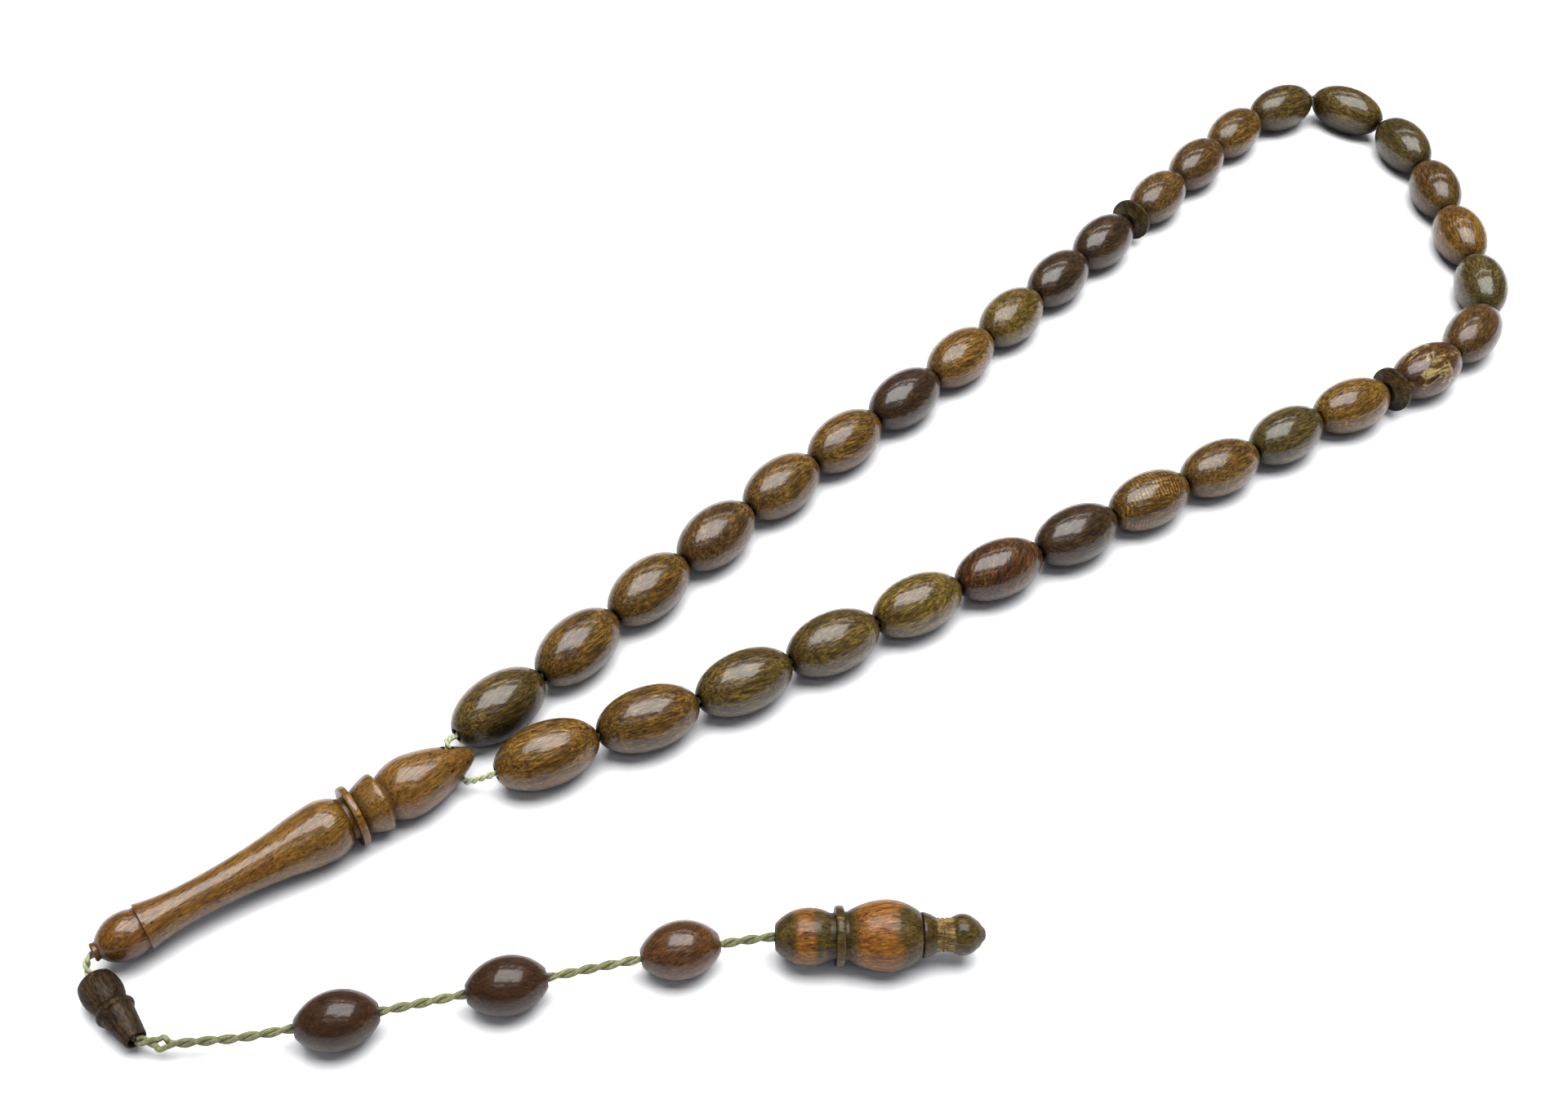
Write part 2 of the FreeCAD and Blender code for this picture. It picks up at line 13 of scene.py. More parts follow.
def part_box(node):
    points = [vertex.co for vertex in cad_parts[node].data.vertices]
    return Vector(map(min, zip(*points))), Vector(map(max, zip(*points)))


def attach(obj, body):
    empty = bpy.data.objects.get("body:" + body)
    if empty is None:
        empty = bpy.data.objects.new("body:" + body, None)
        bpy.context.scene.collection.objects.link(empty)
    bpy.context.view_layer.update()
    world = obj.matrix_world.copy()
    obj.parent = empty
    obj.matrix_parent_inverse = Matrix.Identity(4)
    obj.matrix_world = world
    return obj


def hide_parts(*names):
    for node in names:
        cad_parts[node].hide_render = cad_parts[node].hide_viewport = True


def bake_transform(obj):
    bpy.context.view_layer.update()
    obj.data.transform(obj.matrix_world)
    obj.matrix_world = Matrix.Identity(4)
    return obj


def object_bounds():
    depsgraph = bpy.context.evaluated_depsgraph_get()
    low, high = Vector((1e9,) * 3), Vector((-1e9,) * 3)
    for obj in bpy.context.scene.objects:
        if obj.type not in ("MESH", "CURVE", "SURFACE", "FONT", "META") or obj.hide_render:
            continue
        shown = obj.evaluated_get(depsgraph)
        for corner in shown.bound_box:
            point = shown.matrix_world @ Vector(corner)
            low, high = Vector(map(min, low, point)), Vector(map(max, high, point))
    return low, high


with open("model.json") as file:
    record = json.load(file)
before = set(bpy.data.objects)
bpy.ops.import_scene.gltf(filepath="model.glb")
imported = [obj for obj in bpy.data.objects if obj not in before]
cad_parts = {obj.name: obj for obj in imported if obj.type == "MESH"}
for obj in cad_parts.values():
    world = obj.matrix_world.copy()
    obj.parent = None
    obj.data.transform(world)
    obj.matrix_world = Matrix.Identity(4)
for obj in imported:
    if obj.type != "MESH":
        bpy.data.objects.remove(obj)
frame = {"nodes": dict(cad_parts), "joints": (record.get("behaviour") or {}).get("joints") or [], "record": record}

bl_info = {
    "name": "Misbaha Prayer Beads",
    "version": (1, 0, 0),
    "blender": (4, 5, 0),
    "location": "View3D > Sidebar > Misbaha",
    "description": "Builds a string of turned wooden prayer beads with its cord and tail",
    "category": "Add Mesh",
}

MM = 0.001
CAD_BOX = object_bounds()

# The camera, and the turn about Z that the lights share with it.
VIEW_TURN = -42.6
CAMERA_TILT = 42.62
CAMERA_ROLL = 3.243
CAMERA_PLACE = (-.1207, -.0911, .158)
CAMERA_SENSOR = 36
CAMERA_LENS = 38.43

# Cross hole of the leader piece: where it crosses the axis, and its tilt in degrees.
CROSS_HOLE_RADIUS = .7 * MM
CROSS_HOLE_STATION = 2.5 * MM
CROSS_HOLE_TILT = 58
DRILL_LENGTH = 14 * MM

# Stations along the finial in millimetres: its two bulbs (middle, reach), the dark seam
# before the cap, and the neck of the cap that is left unfinished.
FINIAL_BULBS = ((3, 1.3), (10.6, 2.3))
CAP_SEAM = (15.06, 15.33)
BARE_NECK = (16.7, 18.6)

# Routes of the cords, in metres, as control points of one smooth line each. The loop's
# points were typed in from a fit of the bead chain to the photograph, rounded, and then
# moved.
LOOP_ROUTE = [
    (-.07407, .01230, .00408), (-.0740, .0133, .0057), (-.0729, .0141, .0050),
    (-.0720, .0148, .00375), (-.0703, .0149, .00375), (-.0594, .0158, .00375),
    (-.0474, .0180, .00375), (-.0354, .0199, .00375), (-.0234, .0218, .00375),
    (-.0112, .0231, .00375), (.0009, .0244, .00375), (.0130, .0256, .00375),
    (.0251, .0273, .00375), (.0371, .0293, .00375), (.0491, .0314, .00375),
    (.0658, .0340, .00375), (.0777, .0362, .00375), (.0897, .0384, .00375),
    (.1020, .0409, .00375), (.1162, .0397, .00375), (.1184, .0252, .00375),
    (.1125, .0133, .00375), (.1046, .0039, .00375), (.0974, -.0062, .00375),
    (.0889, -.0156, .00375), (.0761, -.0176, .00375), (.0608, -.0156, .00375),
    (.0489, -.0129, .00375), (.0367, -.0119, .00375), (.0247, -.0099, .00375),
    (.0126, -.0082, .00375), (.0005, -.0065, .00375), (-.0115, -.0043, .00375),
    (-.0236, -.0024, .00375), (-.0356, -.0005, .00375), (-.0476, .0016, .00375),
    (-.0593, .0049, .00375), (-.0699, .0074, .00375), (-.0717, .0078, .00375),
    (-.0731, .0091, .0026), (-.0741, .0103, .0015), (-.07412, .01164, .00302),
]
LINK_ROUTE = [
    (-.1138, .01468, .00355), (-.1155, .01479, .00355), (-.11615, .01416, .0028),
    (-.11623, .01336, .00205), (-.11614, .01166, .00205),
]
EYE_ROUTE = [(-.11574, .00417, .00205), (-.1148, .0033, .0019), (-.1135, .00199, .00175)]
TAIL_ROUTE = [
    (-.1135, .00199, .00175), (-.1104, -.0004, .0023), (-.1066, -.00345, .00305),
    (-.0629, -.0248, .00305), (-.0602, -.0273, .0037),
]

# Outlines of the turned pieces in millimetres, from one end: (station, radius), or an arc
# as (station, radius on the way, station, radius at its end).
DIVIDER_OUTLINE = [
    (-1.2, .9), (-1.2, 1.5), (-.605, 2.35, -.25, 3.2), (.25, 3.2), (.605, 2.35, 1.2, 1.5),
    (1.2, .9), (1.05, .75), (-1.05, .75), (-1.2, .9),
]
IMAME_OUTLINE = [
    (0, 0), (0, .5), (.35, .85), (3.11, 2.345, 7.4, 3.5), (9.35, 3.325, 10.9, 2.6),
    (11.4, 3.4), (11.8, 3.4), (12.7, 3.12, 13.6, 2.75), (14.3, 2.3), (14.3, 3.45),
    (14.7, 3.55, 15.1, 3.45), (15.1, 2.5), (15.6, 2.5), (16.8, 3.2, 18.8, 3.4),
    (20.85, 3.16, 22.9, 2.78), (27.65, 2.225, 32.4, 2.03), (35.35, 2.13, 38.3, 2.6),
    (38.3, 2.3), (38.65, 2.3), (40.0, 2.55, 42.7, 1.3), (42.95, .95), (43.35, 1.05),
    (43.5, .9), (43.5, .65), (2.5, .65), (2.5, 0),
]
STOPPER_OUTLINE = [
    (0, 1.35), (0, 1.5), (.3, 1.8), (2.1, 2.05, 3.8, 1.55), (4.25, 1.85),
    (4.55, 2.0, 4.85, 1.85), (5.0, 1.7), (8.55, 1.15), (8.7, 1.03), (8.7, .88),
    (8.0, .65), (.7, .65), (0, 1.35),
]
FINIAL_OUTLINE = [
    (0, 1.2), (0, 1.35), (3.2, 2.95, 5.7, 2.4), (6.2, 2.4), (6.2, 3.03),
    (6.65, 3.15, 7.1, 3.03), (7.1, 2.5), (7.5, 2.5), (9.55, 3.4, 11.6, 3.7),
    (13.4, 3.36, 15.08, 2.4), (15.2, 2.28), (15.2, 1.5), (9.0, 1.5), (9.0, .75),
    (.7, .75), (0, 1.2),
]
CAP_OUTLINE = [
    (12.6, 0), (12.6, 1.48), (15.2, 1.48), (15.2, 2.23), (15.32, 2.35), (15.5, 2.35),
    (16.1, 2.15, 16.8, 1.75), (17.1, 1.75), (17.25, 1.66, 17.4, 1.75),
    (17.55, 1.75), (17.7, 1.66, 17.85, 1.75), (18.4, 1.75), (19.4, 2.125, 20.5, 1.85),
    (21.2, 1.35), (21.6, .8), (21.8, .59, 21.9, .3), (21.9, 0),
]
TAIL_BEAD_OUTLINE = [
    (-4.1, .9), (-4.1, .95), (0, 3.05, 4.1, .95), (4.1, .9), (3.95, .75), (-3.95, .75), (-4.1, .9),
]

# Which wood each loop bead is turned from, in order from the leader piece.
BEAD_WOODS = (
    "olive amber amber umber amber amber plum honey moss dark dark "
    "umber umber amber olive olive leaf umber honey leaf umber mottled "
    "honey leaf amber rippled dark slanted moss olive olive amber honey"
).split()


class MisbahaSizes(bpy.types.PropertyGroup):
    """Sizes of the beads and the cords."""
    bead_length: FloatProperty(
        name="Bead length", description="Length of a loop bead along its bore",
        default=12.0 * MM, min=4 * MM, unit="LENGTH", precision=5)
    bead_dia: FloatProperty(
        name="Bead diameter", description="Largest diameter of a loop bead",
        default=7.5 * MM, min=3 * MM, unit="LENGTH", precision=5)
    bead_face: FloatProperty(
        name="Bead face", description="Diameter of the flat at each end of a bead",
        default=2.0 * MM, min=1.6 * MM, unit="LENGTH", precision=5)
    bore: FloatProperty(
        name="Bore", description="Diameter of the hole through every loop bead",
        default=1.5 * MM, min=1 * MM, unit="LENGTH", precision=5)
    bore_edge: FloatProperty(
        name="Bore edge", description="Chamfer at each mouth of a bead's bore",
        default=.15 * MM, min=0, unit="LENGTH", precision=5)
    hand_turning: FloatProperty(
        name="Hand turning", description="How much the beads differ from each other",
        default=.022, min=0, max=.1, subtype="FACTOR")
    cord_dia: FloatProperty(
        name="Loop cord", description="Diameter of the two-ply cord of the loop",
        default=.8 * MM, min=.3 * MM, unit="LENGTH", precision=5)
    cord_pitch: FloatProperty(
        name="Loop cord pitch", description="Length of one full twist of the loop cord",
        default=2.1 * MM, min=.5 * MM, unit="LENGTH", precision=5)
    tail_cord_dia: FloatProperty(
        name="Tail cord", description="Diameter of the two-strand cord of the tail",
        default=1.0 * MM, min=.3 * MM, unit="LENGTH", precision=5)
    tail_pitch: FloatProperty(
        name="Tail cord pitch", description="Length of one full twist of the tail cord",
        default=4.2 * MM, min=.5 * MM, unit="LENGTH", precision=5)
    eye_width: FloatProperty(
        name="Eye", description="How far the tail cord's strands part at the eye",
        default=1.3 * MM, min=.6 * MM, unit="LENGTH", precision=5)


def tone(name, description, colour):
    """Colour property with a default, for a wood or a cord."""
    return FloatVectorProperty(
        name=name, description=description, default=colour, subtype="COLOR", min=0, max=1)


class MisbahaColours(bpy.types.PropertyGroup):
    """Body colours of the woods and the cords."""
    umber: tone("Umber", "Wood of the plain brown beads", (.070, .037, .009))
    amber: tone("Amber", "Wood of the golden-brown beads", (.092, .051, .010))
    honey: tone("Honey", "Wood of the orange-gold beads", (.115, .061, .010))
    olive: tone("Olive", "Wood of the olive-brown beads", (.066, .044, .010))
    moss: tone("Moss", "Wood of the yellow-olive beads", (.095, .063, .012))
    leaf: tone("Leaf", "Wood of the green-brown beads", (.055, .040, .010))
    dark: tone("Dark", "Wood of the darkest beads", (.034, .019, .007))
    plum: tone("Plum", "Wood of the purple-brown beads", (.032, .017, .007))
    russet: tone("Russet", "Wood of the red-brown beads", (.059, .025, .007))
    leader: tone("Leader", "Wood of the imame", (.141, .070, .012))
    leader_warm: tone("Leader, heart", "Redder streaks of the imame", (.107, .042, .007))
    ebony: tone("Stopper", "Wood of the stopper", (.031, .018, .008))
    walnut: tone("Tail beads", "Wood of the beads on the tail", (.034, .015, .005))
    finial: tone("Finial", "Wood of the finial", (.056, .037, .008))
    finial_warm: tone("Finial, heart", "Orange heart of the finial's wood", (.172, .067, .010))
    raw: tone("Raw wood", "Unpolished neck of the finial's cap", (.170, .120, .050))
    disc: tone("Dividers", "Wood of the dividers", (.043, .027, .008))
    loop_cord: tone("Loop cord", "Yarn of the loop cord", (.400, .420, .235))
    tail_cord: tone("Tail cord", "Yarn of the tail cord", (.152, .156, .058))
    floor: tone("Floor", "Table top under the beads", (.900, .900, .915))


class MisbahaLook(bpy.types.PropertyGroup):
    """Fineness of the meshes and strength of the light."""
    spin_steps: IntProperty(
        name="Lathe steps", description="Faces round a turned piece", default=56, min=16)
    arc_steps: IntProperty(
        name="Arc steps", description="Edges along a rounded stretch", default=12, min=4)
    softbox_power: FloatProperty(
        name="Softbox", description="Power of the soft light overhead",
        default=5.2, min=0, unit="POWER")
    sky_strength: FloatProperty(
        name="Sky", description="Strength of the light from all round",
        default=.13, min=0, subtype="FACTOR")


def settings():
    """The scene's property groups: sizes, colours and look."""
    scene = bpy.context.scene
    return scene.misbaha_sizes, scene.misbaha_colours, scene.misbaha_look


# --- Shader helpers and materials -------------------------------------------------------

def shader(tree, kind, inputs=None, **options):
    """Adds one shader node, sets its options, and sets or links its inputs."""
    node = tree.nodes.new("ShaderNode" + kind)
    for key, value in options.items():
        setattr(node, key, value)
    for key, value in (inputs or {}).items():
        if isinstance(value, bpy.types.NodeSocket):
            tree.links.new(value, node.inputs[key])
        else:
            node.inputs[key].default_value = value
    return node


def ramp(tree, factor, stops):
    """Colour ramp through (place, colour) stops."""
    node = shader(tree, "ValToRGB", {"Fac": factor})
    elements = node.color_ramp.elements
    while len(elements) < len(stops):
        elements.new(0.5)
    for element, (place, colour) in zip(elements, stops):
        element.position, element.color = place, (*colour, 1)
    return node.outputs["Color"]


def mix(tree, kind, factor, first, second):
    """Mixes two colours."""
    node = shader(tree, "Mix", data_type="RGBA", blend_type=kind)
    for socket, value in zip((node.inputs[0], node.inputs[6], node.inputs[7]),
                             (factor, first, second)):
        if isinstance(value, bpy.types.NodeSocket):
            tree.links.new(value, socket)
        else:
            socket.default_value = value
    return node.outputs[2]


def new_material(name):
    """Empty node material with its surface shader and output."""
    material = bpy.data.materials.new(name)
    material.use_nodes = True
    tree = material.node_tree
    tree.nodes.clear()
    surface = shader(tree, "BsdfPrincipled")
    output = shader(tree, "OutputMaterial")
    tree.links.new(surface.outputs["BSDF"], output.inputs["Surface"])
    return material, tree, surface


def stretched(tree, vector, scale):
    """Coordinates scaled along and across the grain."""
    return shader(tree, "Mapping", {"Vector": vector, "Scale": scale}).outputs["Vector"]


def noise(tree, vector, scale, detail, roughness, distortion=0.0):
    """Noise factor at a scale given in features per metre."""
    return shader(tree, "TexNoise", {
        "Vector": vector, "Scale": scale, "Detail": detail, "Roughness": roughness,
        "Distortion": distortion}).outputs["Fac"]


def hollows(tree, reach):
    """Openness of the surface: 1 in the open, 0 deep in a crevice or against the table."""
    return shader(tree, "AmbientOcclusion", {"Distance": reach}, samples=6).outputs["AO"]


def wood(name, colour, warm=None, ripple=0.0, mottle=0.0, polish=.34, wax=.65, contrast=1.0,
         figure=.55, bulbs=False):
    """Waxed hardwood: growth bands, streaks, fibres, pores and, on figured wood, a warmer
    heart, cross ripples or pale sapwood. It reads the grain attribute, X along the fibres.
    `contrast` is the strength of the streaks, `figure` that of the growth bands, and with
    `bulbs` the warm heart lies where the belly attribute is high."""
    if name in bpy.data.materials:
        return bpy.data.materials[name]
    material, tree, surface = new_material(name)
    deep = [colour[0] * .30, colour[1] * .26, colour[2] * .20]
    dim = [colour[0] * .66, colour[1] * .60, colour[2] * .50]
    pale = [min(1, colour[0] * 1.55 + .02), min(1, colour[1] * 1.60 + .016), colour[2] * 1.5 + .004]
    grain = shader(tree, "Attribute", attribute_name="grain").outputs["Vector"]
    growth = noise(tree, stretched(tree, grain, (.28, 1, .6)), 420, 4, .62, .9)
    streak = noise(tree, stretched(tree, grain, (.13, 1, 1)), 2600, 4, .62, .5)
    fibre = noise(tree, stretched(tree, grain, (.14, 1, 1)), 5200, 5, .74, .3)
    pore = noise(tree, stretched(tree, grain, (.2, 1, 1)), 5200, 1, .4, .4)
    shade = ramp(tree, growth, [(.30, deep), (.42, dim), (.54, colour), (.72, pale)])
    shade = mix(tree, "MIX", figure, (*colour, 1), shade)
    if warm:
        heart = noise(tree, stretched(tree, grain, (.6, 1, 1)), 170, 2, .5, .4)
        if bulbs:
            belly = shader(tree, "Attribute", attribute_name="belly").outputs["Fac"]
            heart = shader(tree, "Math", {0: belly, 1: heart}, operation="ADD").outputs[0]
            where = ramp(tree, heart, [(.72, (0, 0, 0)), (1.0, (1, 1, 1))])
        else:
            where = ramp(tree, heart, [(.46, (0, 0, 0)), (.60, (.7, .7, .7))])
        shade = mix(tree, "MIX", where, shade, (*warm, 1))
    bands = ramp(tree, streak, [
        (.38, (.34, .29, .24)), (.5, (.95, .93, .88)), (.62, (1.55, 1.5, 1.35))])
    shade = mix(tree, "MULTIPLY", .75 * contrast, shade, bands)
    threads = ramp(tree, fibre, [
        (.38, (.20, .17, .13)), (.49, (.85, .82, .76)), (.62, (2.3, 2.2, 1.9))])
    shade = mix(tree, "MULTIPLY", .80 * contrast, shade, threads)
    if ripple:
        wave = shader(tree, "TexWave", {
            "Vector": grain, "Scale": 640, "Distortion": 7.0, "Detail": 4.0,
            "Detail Scale": 1.1, "Detail Roughness": .7}, bands_direction="X")
        across = ramp(tree, wave.outputs["Fac"], [(.2, (.34, .26, .20)), (.62, (1.6, 1.55, 1.3))])
        where = ramp(tree, growth, [(.42, (.15, .15, .15)), (.56, (ripple,) * 3)])
        shade = mix(tree, "MULTIPLY", where, shade, across)
    if mottle:
        patch = noise(tree, stretched(tree, grain, (.6, 1, 1)), 420, 6, .72, 1.0)
        where = ramp(tree, patch, [(.53, (0, 0, 0)), (.60, (mottle,) * 3)])
        shade = mix(tree, "MIX", where, shade, (.36, .27, .11, 1))
    holes = ramp(tree, pore, [(.64, (0, 0, 0)), (.69, (.85, .85, .85))])
    shade = mix(tree, "MIX", holes, shade, (*[c * .3 for c in deep], 1))
    # Painted shade: the base colour is darkened where ambient occlusion finds crevices, bead contacts and the
    # sides facing the table, and the coat is thinned there.
    painted_hollow_shade = ramp(tree, hollows(tree, 5 * MM), [(.35, (.10, .08, .06)), (.92, (1, 1, 1))])
    shade = mix(tree, "MULTIPLY", 1.0, shade, painted_hollow_shade)
    tree.links.new(shade, surface.inputs["Base Color"])
    dull = shader(tree, "MapRange", {
        "Value": fibre, "From Min": .3, "From Max": .7,
        "To Min": polish + .12, "To Max": polish - .04})
    tree.links.new(dull.outputs["Result"], surface.inputs["Roughness"])
    relief = shader(tree, "Bump", {"Height": fibre, "Strength": .5, "Distance": .05 * MM})
    wobble = noise(tree, stretched(tree, grain, (.5, 1, 1)), 900, 3, .55)
    relief = shader(tree, "Bump", {
        "Height": wobble, "Strength": .35, "Distance": .12 * MM,
        "Normal": relief.outputs["Normal"]})
    sunk = shader(tree, "Bump", {
        "Height": holes, "Strength": .4, "Distance": .05 * MM, "Normal": relief.outputs["Normal"]},
        invert=True)
    tree.links.new(sunk.outputs["Normal"], surface.inputs["Normal"])
    surface.inputs["Specular IOR Level"].default_value = .12
    film_weight = shader(tree, "MapRange", {
        "Value": painted_hollow_shade, "From Min": .3, "From Max": 1.0, "To Min": .05 * wax, "To Max": wax})
    tree.links.new(film_weight.outputs["Result"], surface.inputs["Coat Weight"])
    surface.inputs["Coat Roughness"].default_value = .13
    film = shader(tree, "Bump", {"Height": wobble, "Strength": .60, "Distance": .12 * MM})
    tree.links.new(film.outputs["Normal"], surface.inputs["Coat Normal"])
    return material


def yarn(name, colour):
    """Spun yarn: fine threads wound round each strand, with lighter and darker fibres."""
    if name in bpy.data.materials:
        return bpy.data.materials[name]
    material, tree, surface = new_material(name)
    grain = shader(tree, "Attribute", attribute_name="grain").outputs["Vector"]
    thread = noise(tree, stretched(tree, grain, (1, 5, 5)), 1300, 4, .7, .4)
    tint = noise(tree, grain, 420, 2, .5)
    dark = [c * .38 for c in colour]
    pale = [min(1, c * 1.45 + .05) for c in colour]
    shade = ramp(tree, thread, [(.34, dark), (.5, colour), (.68, pale)])
    blotch = ramp(tree, tint, [(.35, (.75, .78, .70)), (.65, (1.12, 1.1, 1.05))])
    shade = mix(tree, "MULTIPLY", .7, shade, blotch)
    # Painted shade: the yarn is darkened between its strands and where it runs into a bore, from ambient
    # occlusion.
    painted_crevice_shade = ramp(tree, hollows(tree, 1 * MM), [(.35, (.10, .10, .07)), (.85, (1, 1, 1))])
    shade = mix(tree, "MULTIPLY", 1.0, shade, painted_crevice_shade)
    tree.links.new(shade, surface.inputs["Base Color"])
    relief = shader(tree, "Bump", {"Height": thread, "Strength": .6, "Distance": .05 * MM})
    tree.links.new(relief.outputs["Normal"], surface.inputs["Normal"])
    surface.inputs["Roughness"].default_value = .72
    surface.inputs["Sheen Weight"].default_value = .25
    surface.inputs["Sheen Roughness"].default_value = .45
    return material


def bead_wood(kind):
    """Material of a loop bead by the name of its wood."""
    colours = settings()[1]
    if kind == "slanted":
        return wood("wood_russet_slanted", colours.russet, contrast=1.15)
    if kind == "rippled":
        return wood("wood_amber_rippled", colours.amber, ripple=.9)
    if kind == "mottled":
        return wood("wood_mottled", colours.russet, warm=colours.amber, mottle=.8)
    return wood(f"wood_{kind}", getattr(colours, kind))


# --- Lathe ------------------------------------------------------------------------------

def arc_points(start, way, end, count):
    """Points of the arc from start through way to end, without start."""
    a, b, c = (complex(*p) for p in (start, way, end))
    w = (c - a) / (b - a)
    centre = (b - a) * (w - abs(w) ** 2) / (2j * w.imag) + a
    first, last = a - centre, c - centre
    sweep = math.atan2((last / first).imag, (last / first).real)
    middle = math.atan2(((b - centre) / first).imag, ((b - centre) / first).real)
    if sweep * middle < 0 or abs(middle) > abs(sweep):
        sweep -= math.copysign(2 * math.pi, sweep)
    turned = [centre + first * complex(math.cos(sweep * i / count), math.sin(sweep * i / count))
              for i in range(1, count + 1)]
    return [(p.real, p.imag) for p in turned]


def outline_points(outline, arc_steps):
    """Corners of an outline in metres, its arcs cut into short edges."""
    points = [outline[0]]
    for step in outline[1:]:
        if len(step) == 4:
            points += arc_points(points[-1], step[:2], step[2:], arc_steps)
        else:
            points.append(step)
    return [(x * MM, r * MM) for x, r in points]


def bead_outline(length, dia, face, bore, edge, count):
    """Outline of an olive bead in metres: an ellipse cut flat at both ends, and its bore."""
    half_axis = length / 2 / math.sqrt(1 - (face / dia) ** 2)
    low = math.asin(face / dia)
    side = [math.pi - low - (math.pi - 2 * low) * i / count for i in range(count + 1)]
    points = [(half_axis * math.cos(a), dia / 2 * math.sin(a)) for a in side]
    mouth = (-length / 2, bore / 2 + edge)
    return [mouth, *points, (length / 2, bore / 2 + edge), (length / 2 - edge, bore / 2),
            (edge - length / 2, bore / 2), mouth]


def turn_on_lathe(name, points, edge=0.0):
    """Turned piece about X: the outline is drawn from one vertex by extruding and spun."""
    look = settings()[2]
    bpy.ops.object.select_all(action="DESELECT")
    bpy.ops.mesh.primitive_plane_add(size=MM, location=(0, 0, 0))
    piece = bpy.context.object
    piece.name = piece.data.name = name
    bpy.ops.object.mode_set(mode="EDIT")
    bpy.ops.mesh.select_all(action="SELECT")
    bpy.ops.mesh.merge(type="CENTER")
    bpy.ops.transform.translate(value=(points[0][0], points[0][1], 0))
    here = points[0]
    for there in points[1:]:
        step = (there[0] - here[0], there[1] - here[1], 0)
        bpy.ops.mesh.extrude_region_move(TRANSFORM_OT_translate={"value": step})
        here = there
    bpy.ops.mesh.select_all(action="SELECT")
    bpy.ops.mesh.spin(steps=look.spin_steps, angle=2 * math.pi, center=(0, 0, 0), axis=(1, 0, 0))
    bpy.ops.mesh.select_all(action="SELECT")
    bpy.ops.mesh.remove_doubles(threshold=.001 * MM)
    bpy.ops.mesh.normals_make_consistent(inside=False)
    bpy.ops.object.mode_set(mode="OBJECT")
    if edge:
        bevel = piece.modifiers.new("edge", "BEVEL")
        bevel.width, bevel.segments = edge, 2
        bevel.limit_method, bevel.angle_limit = "ANGLE", math.radians(28)
        bpy.ops.object.modifier_apply(modifier=bevel.name)
    bpy.ops.object.shade_smooth_by_angle(angle=math.radians(40))
    return piece


def lay_grain(piece, seed, slant=0.0):
    """Writes where each vertex lies in the wood: X along the fibres, at a random place."""
    pick = random.Random(seed)
    turn = Matrix.Rotation(math.radians(slant), 3, "Z")
    turn = turn @ Matrix.Rotation(pick.uniform(0, 2 * math.pi), 3, "X")
    shift = Vector([pick.uniform(.05, .35) for _ in range(3)])
    places = piece.data.attributes.new("grain", "FLOAT_VECTOR", "POINT")
    for vertex, place in zip(piece.data.vertices, places.data):
        place.vector = turn @ vertex.co + shift


def copy_of(blank, name):
    """Copy of a modelled piece with its own mesh."""
    piece = blank.copy()
    piece.data = blank.data.copy()
    piece.name = piece.data.name = name
    bpy.context.scene.collection.objects.link(piece)
    return piece


def put(piece, point, along, stretch=(1, 1, 1)):
    """Turns a piece made about X to lie along a direction, moves it there and applies that."""
    turn = Vector((1, 0, 0)).rotation_difference(along).to_matrix().to_4x4()
    piece.matrix_world = Matrix.Translation(point) @ turn @ Matrix.Diagonal((*stretch, 1))
    bpy.ops.object.select_all(action="DESELECT")
    piece.select_set(True)
    bpy.context.view_layer.objects.active = piece
    bpy.ops.object.transform_apply(location=True, rotation=True, scale=True)
    return piece


def finish_piece(piece, material, body, slot, *nodes):
    """Gives a piece its material and its body, and hides the CAD nodes it stands for. The slot argument is not
    used.
    """
    piece.data.materials.clear()
    piece.data.materials.append(material)
    if body:
        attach(piece, body)
    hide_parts(*nodes)


# --- Places from the frame ---------------------------------------------------------------

def body_of(node):
    """Name of the body that a CAD node belongs to."""
    groups = frame["record"]["behaviour"]["bodies"]
    return next(name for name, members in groups.items() if node in members)


def slot_of(node):
    """Material slot of a CAD node."""
    return next(s["material_slot"] for s in frame["record"]["subparts"] if s["node"] == node)


def spin_line(body):
    """Middle and axis of a threaded piece, from the joint that it spins on."""
    joint = next(j for j in frame["joints"] if j["child"] == body)
    return Vector(joint["pos_m"]), Vector(joint["axis"])


def turning_line(node, towards):
    """Start and direction of a turned CAD piece's axis: the middles of its end rings, the
    start being the end that lies less far towards a direction."""
    points = {tuple(round(c, 7) for c in v.co) for v in frame["nodes"][node].data.vertices}
    spread = np.cov(np.array(sorted(points)).T)
    along = Vector(np.linalg.eigh(spread)[1][:, 2])
    points = [Vector(p) for p in points]
    for _ in range(3):
        reach = [p.dot(along) for p in points]
        low, high = min(reach), max(reach)
        near = [p for p, r in zip(points, reach) if r < low + .06 * MM]
        far = [p for p, r in zip(points, reach) if r > high - .06 * MM]
        one, other = sum(near, Vector()) / len(near), sum(far, Vector()) / len(far)
        along = (other - one).normalized()
    if (other - one).dot(Vector(towards)) < 0:
        one, other = other, one
    return one, (other - one).normalized()


# --- Cords ------------------------------------------------------------------------------

def route_line(name, points):
    """Evenly spaced points of the smooth line through a route's control points."""
    curve = bpy.data.curves.new(name, "CURVE")
    curve.dimensions = "3D"
    curve.resolution_u = 32
    spline = curve.splines.new("NURBS")
    spline.points.add(len(points) - 1)
    for place, point in zip(spline.points, points):
        place.co = (*point, 1)
    spline.order_u = 3
    spline.use_endpoint_u = True
    holder = bpy.data.objects.new(name, curve)
    bpy.context.scene.collection.objects.link(holder)
    mesh = bpy.data.meshes.new_from_object(holder)
    line = [v.co.copy() for v in mesh.vertices]
    bpy.data.objects.remove(holder)
    bpy.data.curves.remove(curve)
    bpy.data.meshes.remove(mesh)
    return line


